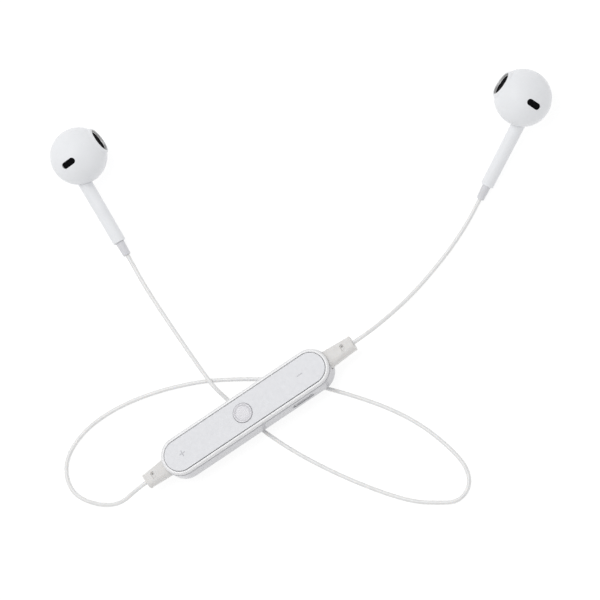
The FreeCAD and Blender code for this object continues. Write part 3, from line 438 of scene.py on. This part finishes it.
def smooth(obj, angle):
    obj.data.shade_smooth()
    obj.data.set_sharp_from_angle(angle=math.radians(angle))
    weighted = obj.modifiers.new("normals", "WEIGHTED_NORMAL")
    weighted.keep_sharp = True


def piece(obj, slot, stands_for=(), body="housing", material=None, angle=38):
    """Finish a piece: its shading, its material, the body it rides on and what it stands for."""
    if obj.type == "MESH":
        smooth(obj, angle)
    obj.data.materials.clear()
    obj.data.materials.append(MATERIALS[material or slot])
    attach(obj, body)
    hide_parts(*stands_for)
    return obj


# ---------------------------------------------------------------- control case
def slot_profile(length, width, points):
    """Slot rings, each drawn in from the outline by its first number, at its second."""
    return [slot_ring(length - 2 * inset, width - 2 * inset, z) for inset, z in points]


def relief_matrix(side):
    relief = RELIEFS[side]
    return place(relief["start"], 0, RELIEF_HEIGHT) @ turn("Z", relief["yaw"])


def relief_hole(side):
    """A rod of the relief's own section, to make room for it in the case."""
    reach = 3.0
    ring = box_ring(RELIEF_ROOT["width"] + 2 * RELIEF_GAP, RELIEF_ROOT["depth"] + RELIEF_GAP,
                    RELIEF_ROOT["corner"])
    upright = relief_matrix(side) @ turn("Y", 90) @ turn("Z", 90)
    rings = [[point + Vector((0, 0, z)) for point in ring] for z in (-reach, reach)]
    return solid("relief_hole", loft(rings), upright)


def case_lower():
    bottom = [(BOTTOM_ROUND + x, BOTTOM_ROUND + y) for x, y in rounding(BOTTOM_ROUND, 180, 270)]
    profile = [(CASE_WALL, 1.6), (CASE_WALL, PARTING - 0.06), (CASE_WALL - 0.06, PARTING),
               (GROOVE, PARTING), (0.3, PARTING - 0.02), (0.12, PARTING - 0.08),
               (0.03, PARTING - 0.18), (0.0, PARTING - 0.32), (0.0, PARTING - 0.6),
               (0.0, BOTTOM_ROUND + 0.5)]
    profile += bottom + [(BOTTOM_ROUND + 0.5, 0.0)]
    shell = solid("case_lower", loft(slot_profile(CASE_LENGTH, CASE_WIDTH, profile)))
    recess = [slot_ring(RECESS["length"], RECESS["width"], z) for z in (-1, RECESS["depth"])]
    port_ring = box_ring(PORT["width"], PORT["height"], PORT["corner"])
    port_rings = [[point + Vector((0, 0, z)) for point in port_ring] for z in (4.5, 8)]
    carve(shell, [
        solid("recess", loft(recess), place(RECESS["x"], 0, 0)),
        solid("port", loft(port_rings), place(PORT["x"], 0, PORT["z"]) @ turn("X", 90)),
        relief_hole("left"), relief_hole("right")])
    soften(shell, 0.07)
    # the lower shell's darkened colour is painted shade on its side walls
    piece(shell, "lower_shell_white", ["bottom_case"])


def case_frame():
    rim, lip = (CASE_LENGTH - WINDOW["length"]) / 2, 0.1
    ledge, step = WINDOW["ledge"], WINDOW["ledge_width"]
    under = ledge - WINDOW["ledge_depth"]
    top = [(FRAME_INSET + TOP_ROUND + x, CASE_TOP - TOP_ROUND + y)
           for x, y in rounding(TOP_ROUND, 180, 90, 8)]
    inner = [(rim - lip + x, CASE_TOP - lip + y) for x, y in rounding(lip, 90, 0)]
    profile = [(rim, ledge), (rim + step, ledge), (rim + step, under),
               (rim, under), (rim, PARTING - 0.8), (CASE_WALL + 0.05, PARTING - 0.8),
               (CASE_WALL + 0.05, PARTING + 0.03), (GROOVE, PARTING + 0.03),
               (FRAME_INSET + 0.12, PARTING + 0.12), (FRAME_INSET + 0.03, PARTING + 0.22),
               (FRAME_INSET, PARTING + 0.34)]
    profile += top + inner
    rings = slot_profile(CASE_LENGTH, CASE_WIDTH, profile)
    cap = solid("case_frame", loft(rings, closed=True))
    carve(cap, [relief_hole("left"), relief_hole("right")])
    soften(cap, 0.05)
    piece(cap, "gloss_white", ["top_case"])


def rocker():
    radius, top = PLATE["round"], PLATE["top"]
    edge = [(radius + x, top - radius + y) for x, y in rounding(radius, 180, 90)]
    profile = [(0.1, PLATE["low"]), (0.0, PLATE["low"] + 0.1)] + edge + [(radius + 0.1, top)]
    plate = solid("rocker_cover",
                  loft(slot_profile(PLATE["length"], PLATE["width"], profile)))
    hole = solid("hole", lathe([(0, 6), (BUTTON["hole"], 6), (BUTTON["hole"], 9), (0, 9)]),
                 place(BUTTON["x"], 0, 0))
    floor = top - MARK["depth"]
    strokes = [("plus", 0), ("plus", 90), ("minus", 0)]
    spots = [place(MARKS[mark], 0, 0) @ turn("Z", angle) for mark, angle in strokes]
    grooves = [solid("groove", loft([slot_ring(MARK["length"], MARK["width"], z)
                                     for z in (floor, 9)]), spot) for spot in spots]
    carve(plate, [hole] + grooves)
    soften(plate, 0.05)
    piece(plate, "plate_white", ["rocker_plate"], body="rocker")
    for number, spot in enumerate(spots, start=1):
        inlay = [slot_ring(MARK["length"] - inset, MARK["width"] - inset, floor + z)
                 for inset, z in ((0.02, -0.02), (0.02, 0.015), (0.06, 0.03))]
        lift = 0.004 * (number == 2)      # the upright stroke lies over the level one
        bar = solid(f"mark_{number}", loft(inlay), place(0, 0, lift) @ spot)
        piece(bar, "plate_white", body="rocker", material="mark_grey")


def button():
    top, radius, rim = BUTTON["top"], BUTTON["radius"], BUTTON["rim"]
    wide, low, high, edge = FLANGE["radius"], FLANGE["low"], FLANGE["high"], FLANGE["edge"]
    outer = [(radius - rim + x, top - rim + y) for x, y in rounding(rim, 0, 90)]
    dish = [(radius - inset, top - drop) for inset, drop in BUTTON_DISH]
    profile = [(0, low), (wide - edge, low), (wide, low + edge), (wide, high - edge),
               (wide - edge, high), (radius, high), (radius, 7.4)] + outer + dish
    piece(solid("round_button", lathe(profile), place(BUTTON["x"], 0, 0)), "gloss_white",
          ["centre_button"], body="button", material="button_white", angle=60)


# ---------------------------------------------------------------- strain reliefs
def strain_relief(side):
    relief, root = RELIEFS[side], RELIEF_ROOT
    along = turn("Y", 90) @ turn("Z", 90)
    sections = [(-2.0, root["width"], root["depth"], root["corner"])]
    sections += [(relief["length"] - back, *section) for back, *section in RELIEF_TIP]
    rings = []
    for distance, width, depth, corner in sections:
        ring = box_ring(width, depth, corner)
        rings.append([along @ (point + Vector((0, 0, distance))) for point in ring])
    body = solid(f"{side}_relief", loft(rings))
    middle = place(relief["eyelet"], 0, 0)
    eyelet = solid("eyelet", loft([slot_ring(EYELET["length"], EYELET["width"], z)
                                   for z in (EYELET["floor"], 4)]), middle @ turn("Z", 90))
    low, radius = EYELET["hole_floor"], EYELET["hole_radius"]
    hole = solid("hole", lathe([(0, low), (radius, low), (radius, 4), (0, 4)], 40),
                 middle @ place(0, relief["hole"] * EYELET["hole_offset"], 0))
    bore_radius = CORD_DIAMETER / 2 + 0.06
    bore = solid("bore", lathe([(0, -4), (bore_radius, -4), (bore_radius, 12), (0, 12)], 48),
                 turn("Y", 90))
    carve(body, [eyelet, hole, bore])
    soften(body, 0.12)
    piece(put(body, relief_matrix(side)), "soft_cream", [f"{side}_strain_relief"])


# ---------------------------------------------------------------- earbuds
def bud_matrix(side):
    """The bud's own frame: Z out of its face, Y up its stem, centre of the head at 0."""
    bud = BUD_PLACES[side]
    return (place(bud["x"], bud["y"], GROUND + HEAD_RADIUS) @ turn("Z", bud["yaw"])
            @ turn("X", bud["lift"]) @ turn("Y", bud["roll"]))


def nozzle_matrix(side):
    """Z along the nozzle and Y along the long axis of its oval."""
    sign = SIDES[side]
    return turn("Z", sign * FACES[side]["nozzle_lift"]) @ turn("Y", sign * (90 - NOZZLE["tilt"]))


def vent_matrix(side):
    """Z out through the vent and X along its slot."""
    sign = SIDES[side]
    x, y = -sign * VENT["x"], FACES[side]["vent_y"]
    out = Vector((x, y, math.sqrt(HEAD_RADIUS ** 2 - x * x - y * y)))
    aim = Vector((0, 0, 1)).rotation_difference(out).to_matrix().to_4x4()
    return aim @ turn("Z", sign * FACES[side]["vent_turn"])


def head_ball(side, cells=72):
    """A sphere of even quads that swells into a flat face round the nozzle's opening."""
    bm = bmesh.new()
    bmesh.ops.create_cube(bm, size=2)
    bmesh.ops.subdivide_edges(bm, edges=bm.edges[:], cuts=cells - 1, use_grid_fill=True)
    to_nozzle = nozzle_matrix(side).to_3x3().inverted()
    across = NOZZLE["minor"] + NOZZLE["collar"]
    along = NOZZLE["major"] + NOZZLE["collar"]
    for vert in bm.verts:
        direction = Vector([math.tan(value * math.pi / 4) for value in vert.co]).normalized()
        facing = to_nozzle @ direction
        radius = HEAD_RADIUS
        if facing.z > 0.3:
            flat = NOZZLE["reach"] / facing.z
            spread = math.hypot(facing.x * flat / across, facing.y * flat / along)
            fade = min(max((spread - COLLAR_FADE[0]) / (COLLAR_FADE[1] - COLLAR_FADE[0]), 0), 1)
            radius += (flat - HEAD_RADIUS) * (1 - fade * fade * (3 - 2 * fade))
        vert.co = direction * radius
    return bm


def half_head(side, name, height, keep_above):
    """One half of the head: a shell of even wall that ends at the seam."""
    bm = head_ball(side)
    bmesh.ops.bisect_plane(bm, geom=bm.verts[:] + bm.edges[:] + bm.faces[:],
                           plane_co=(0, 0, height), plane_no=(0, 0, 1),
                           clear_inner=keep_above, clear_outer=not keep_above)
    bmesh.ops.recalc_face_normals(bm, faces=bm.faces[:])
    shell = solid(name, bm)
    wall = shell.modifiers.new("wall", "SOLIDIFY")
    wall.thickness = SHELL_WALL * MM
    wall.offset = -1
    settle(shell)
    return shell


def stem_axis(side):
    """Z down the stem, from the head's centre height."""
    return place(-SIDES[side] * STEM["x"], 0, STEM["z"]) @ turn("X", 90)


def face_shell(side):
    shell = half_head(side, f"{side}_face", SEAM["z"] + SEAM["gap"] / 2, True)
    opening = solid("opening", loft([oval_ring(NOZZLE["major"], NOZZLE["minor"], z)
                                     for z in (4.5, 10)]), nozzle_matrix(side))
    slot = solid("slot", loft([slot_ring(VENT["length"], VENT["width"], z)
                               for z in (4, 12)]), vent_matrix(side))
    radius = STEM["top"] + 0.015
    room = solid("room", lathe([(0, 4), (radius, 4), (radius, 14), (0, 14)]), stem_axis(side))
    carve(shell, [opening, slot, room])
    soften(shell, 0.13)
    piece(put(shell, bud_matrix(side)), "bud_white", [f"{side}_front_shell"])


def back_shell(side):
    shell = half_head(side, f"{side}_back", SEAM["z"] - SEAM["gap"] / 2, False)
    end, tip, bore = STEM["end"], STEM["tip"], SLEEVE["top"] + 0.04
    rim = [(tip - 0.22 + x, end - 0.22 + z) for x, z in rounding(0.22, 0, 90, 5)]
    profile = [(0, STEM["start"]), (STEM["top"], STEM["start"]), (tip + 0.002, end - 0.25)]
    profile += rim + [(bore + 0.08, end), (bore, end - 0.08), (bore, end - 1.2), (0, end - 1.2)]
    carve(shell, [solid("stem", lathe(profile), stem_axis(side))], "UNION")
    soften(shell, 0.09)
    piece(put(shell, bud_matrix(side)), "bud_white", [f"{side}_rear_shell"])


def nozzle_ring(side):
    """The grey ring in the nozzle, and the bead where it meets the mesh, its silver lighter than
    the ring's grey as a painted highlight.
    """
    major, minor, reach = NOZZLE["major"] - 0.03, NOZZLE["minor"] - 0.03, NOZZLE["reach"]
    matrix = bud_matrix(side) @ nozzle_matrix(side)
    profile = ((0.0, -1.2), (0.0, -0.08), (0.03, -0.04), (0.08, -0.02), (0.16, -0.03),
               (0.22, -0.08), (0.27, -0.16), (0.36, MESH_DEPTH + 0.02), (0.36, -1.2))
    rings = [oval_ring(major - inset, minor - inset, reach + z) for inset, z in profile]
    ring = solid(f"{side}_nozzle_ring", loft(rings, closed=True), matrix)
    piece(ring, "bezel_grey", [f"{side}_nozzle_bezel"], angle=70)
    radius = 0.09
    section = [(0.4 - x, MESH_DEPTH + 0.05 + z) for x, z in rounding(radius, 0, 330, 11)]
    rings = [oval_ring(major - inset, minor - inset, reach + z) for inset, z in section]
    # the bead's rounded shape is real; its lighter silver is a painted highlight
    bead = solid(f"{side}_nozzle_bead", loft(rings, closed=True), matrix)
    piece(bead, "bezel_grey", material="bead_highlight_silver", angle=80)


def woven(name, inside, height, reach_x, reach_y, pitch, radius, matrix):
    """Cloth of fine wires that pass over and under each other, inside an outline."""
    bm = bmesh.new()
    sides, steps_per_pitch = 6, 4
    for along, reach, spread in ((0, reach_x, reach_y), (1, reach_y, reach_x)):
        count = int(spread / pitch)
        for line in range(-count, count + 1):
            offset = line * pitch
            span = int(reach / pitch) * steps_per_pitch
            run = []
            for step in range(-span, span + 1):
                travel = step * pitch / steps_per_pitch
                x, y = (travel, offset) if along == 0 else (offset, travel)
                if not inside(x, y):
                    continue
                weave = math.cos(math.pi * travel / pitch) * (-1) ** (line + along)
                run.append(Vector((x, y, height(x, y) + weave * radius * 0.9)))
            if len(run) < 3:
                continue
            across = Vector((0, 1, 0)) if along == 0 else Vector((1, 0, 0))
            up = Vector((0, 0, 1))
            loops = []
            for point in run:
                angles = [2 * math.pi * side / sides for side in range(sides)]
                loops.append([bm.verts.new(point + across * radius * math.cos(a)
                                           + up * radius * math.sin(a)) for a in angles])
            for low, high in zip(loops, loops[1:]):
                for here in range(sides):
                    ahead = (here + 1) % sides
                    bm.faces.new((low[here], low[ahead], high[ahead], high[here]))
            bm.faces.new(loops[0][::-1])
            bm.faces.new(loops[-1])
    bmesh.ops.recalc_face_normals(bm, faces=bm.faces[:])
    return solid(name, bm, matrix)


def nozzle_mesh(side):
    major, minor = NOZZLE["major"] - 0.4, NOZZLE["minor"] - 0.4
    level = NOZZLE["reach"] + MESH_DEPTH
    matrix = bud_matrix(side) @ nozzle_matrix(side)
    cloth = woven(f"{side}_nozzle_cloth",
                  lambda x, y: (x / minor) ** 2 + (y / major) ** 2 < 1,
                  lambda x, y: level, minor, major, 0.26, 0.055, matrix)
    piece(cloth, "mesh_black", [f"{side}_nozzle_mesh"], angle=80)
    rings = [oval_ring(major, minor, level + z) for z in (-0.25, -0.12)]
    piece(solid(f"{side}_nozzle_felt", loft(rings), matrix), "mesh_black")


def vent_mesh(side):
    """Black cloth just under the vent's slot, curved like the head."""
    half, radius = (VENT["length"] - VENT["width"]) / 2, VENT["width"] / 2 - 0.02

    def inside(x, y):
        return math.hypot(max(abs(x) - half, 0), y) < radius

    def height(x, y):
        return math.sqrt((HEAD_RADIUS - 0.36) ** 2 - x * x - y * y)

    matrix = bud_matrix(side) @ vent_matrix(side)
    cloth = woven(f"{side}_vent_cloth", inside, height, half + radius, radius, 0.2, 0.045,
                  matrix)
    piece(cloth, "mesh_black", [f"{side}_vent_mesh"], angle=80)
    outline = slot_ring(VENT["length"] - 0.04, VENT["width"] - 0.04, 0)
    rings = [[Vector((p.x, p.y, height(p.x, p.y) + drop)) for p in outline]
             for drop in (-0.3, -0.12)]
    piece(solid(f"{side}_vent_felt", loft(rings), matrix), "mesh_black")


def cord_sleeve(side):
    start, end, top, tip = SLEEVE["start"], SLEEVE["end"], SLEEVE["top"], SLEEVE["tip"]
    bore = CORD_DIAMETER / 2 + 0.02
    rim = [(tip - 0.16 + x, end - 0.16 + z) for x, z in rounding(0.16, 0, 90, 5)]
    profile = [(bore, start), (top, start), (top, STEM["end"]), (tip + 0.003, end - 0.2)]
    profile += rim + [(bore + 0.1, end), (bore, end - 0.1)]
    sleeve = solid(f"{side}_sleeve", loft(spin(profile, 72), closed=True),
                   bud_matrix(side) @ stem_axis(side))
    piece(sleeve, "sleeve_grey", [f"{side}_cord_sleeve"])


# ---------------------------------------------------------------- cords
def cord_line(name, route, stands_for):
    """One smooth spline with the route's points as its control points."""
    curve = bpy.data.curves.new(name, "CURVE")
    curve.dimensions = "3D"
    spline = curve.splines.new("NURBS")
    spline.points.add(len(route) - 1)
    for point, place_on_route in zip(spline.points, route):
        point.co = (*place_on_route, 1)
    spline.order_u = 3
    spline.use_endpoint_u = True
    spline.resolution_u = 14
    curve.bevel_depth = CORD_DIAMETER / 2 * MM
    curve.bevel_resolution = 5
    curve.use_fill_caps = True
    obj = bpy.data.objects.new(name, curve)
    bpy.context.scene.collection.objects.link(obj)
    piece(obj, "cord_jacket", [stands_for])


# ---------------------------------------------------------------- studio, in metres
WORLD_STRENGTH = 0.72
# a floor that glows more than it reflects stays white and takes only faint shadows
FLOOR = {"radius": 6, "color": (0.22, 0.22, 0.22), "roughness": 0.6, "glow": 0.81}
LIGHT_AIM = Vector((0.03, 0.02, 0))
LIGHTS = {
    "key": {"at": (-0.45, 0.75, 1.3), "size": 2.4, "watts": 2.0},
    "top": {"at": (-0.14, 0.4, 1.25), "size": 0.9, "watts": 5.6},
}


def area_light(name, location, size, power):
    data = bpy.data.lights.new(name, "AREA")
    data.shape = "DISK"
    data.size = size
    data.energy = power
    light = bpy.data.objects.new(name, data)
    light.location = location
    light.rotation_euler = (LIGHT_AIM - Vector(location)).to_track_quat("-Z", "Y").to_euler()
    bpy.context.scene.collection.objects.link(light)


def make_studio():
    floor_mesh = bpy.data.meshes.new("floor")
    bm = bmesh.new()
    bmesh.ops.create_circle(bm, cap_ends=True, segments=96, radius=FLOOR["radius"])
    bmesh.ops.translate(bm, vec=(0, 0, GROUND * MM), verts=bm.verts[:])
    bm.to_mesh(floor_mesh)
    bm.free()
    floor = bpy.data.objects.new("floor", floor_mesh)
    bpy.context.scene.collection.objects.link(floor)
    material, _ = shader("floor_white", FLOOR["color"], FLOOR["roughness"],
                         Emission_Strength=FLOOR["glow"])
    floor_mesh.materials.append(material)
    world = bpy.data.worlds.new("studio")
    bpy.context.scene.world = world
    world.use_nodes = True
    background = world.node_tree.nodes["Background"]
    background.inputs["Color"].default_value = (1, 1, 1, 1)
    background.inputs["Strength"].default_value = WORLD_STRENGTH
    for name, light in LIGHTS.items():
        area_light(name, light["at"], light["size"], light["watts"])
    bpy.context.scene.view_settings.view_transform = "Standard"


# ---------------------------------------------------------------- build
def dress_cad_nodes():
    """Give every CAD node the material of its slot."""
    for row in frame["record"]["subparts"]:
        node = frame["nodes"][row["node"]]
        node.data.materials.clear()
        node.data.materials.append(MATERIALS[row["material_slot"]])


make_camera()
cord_line("neck_cord_line", LEFT_ROUTE, "neck_cord")
cord_line("right_cord_line", RIGHT_ROUTE, "right_cord")
dress_cad_nodes()
case_lower()
case_frame()
rocker()
button()
for side in SIDES:
    strain_relief(side)
    face_shell(side)
    back_shell(side)
    nozzle_ring(side)
    nozzle_mesh(side)
    vent_mesh(side)
    cord_sleeve(side)
make_studio()
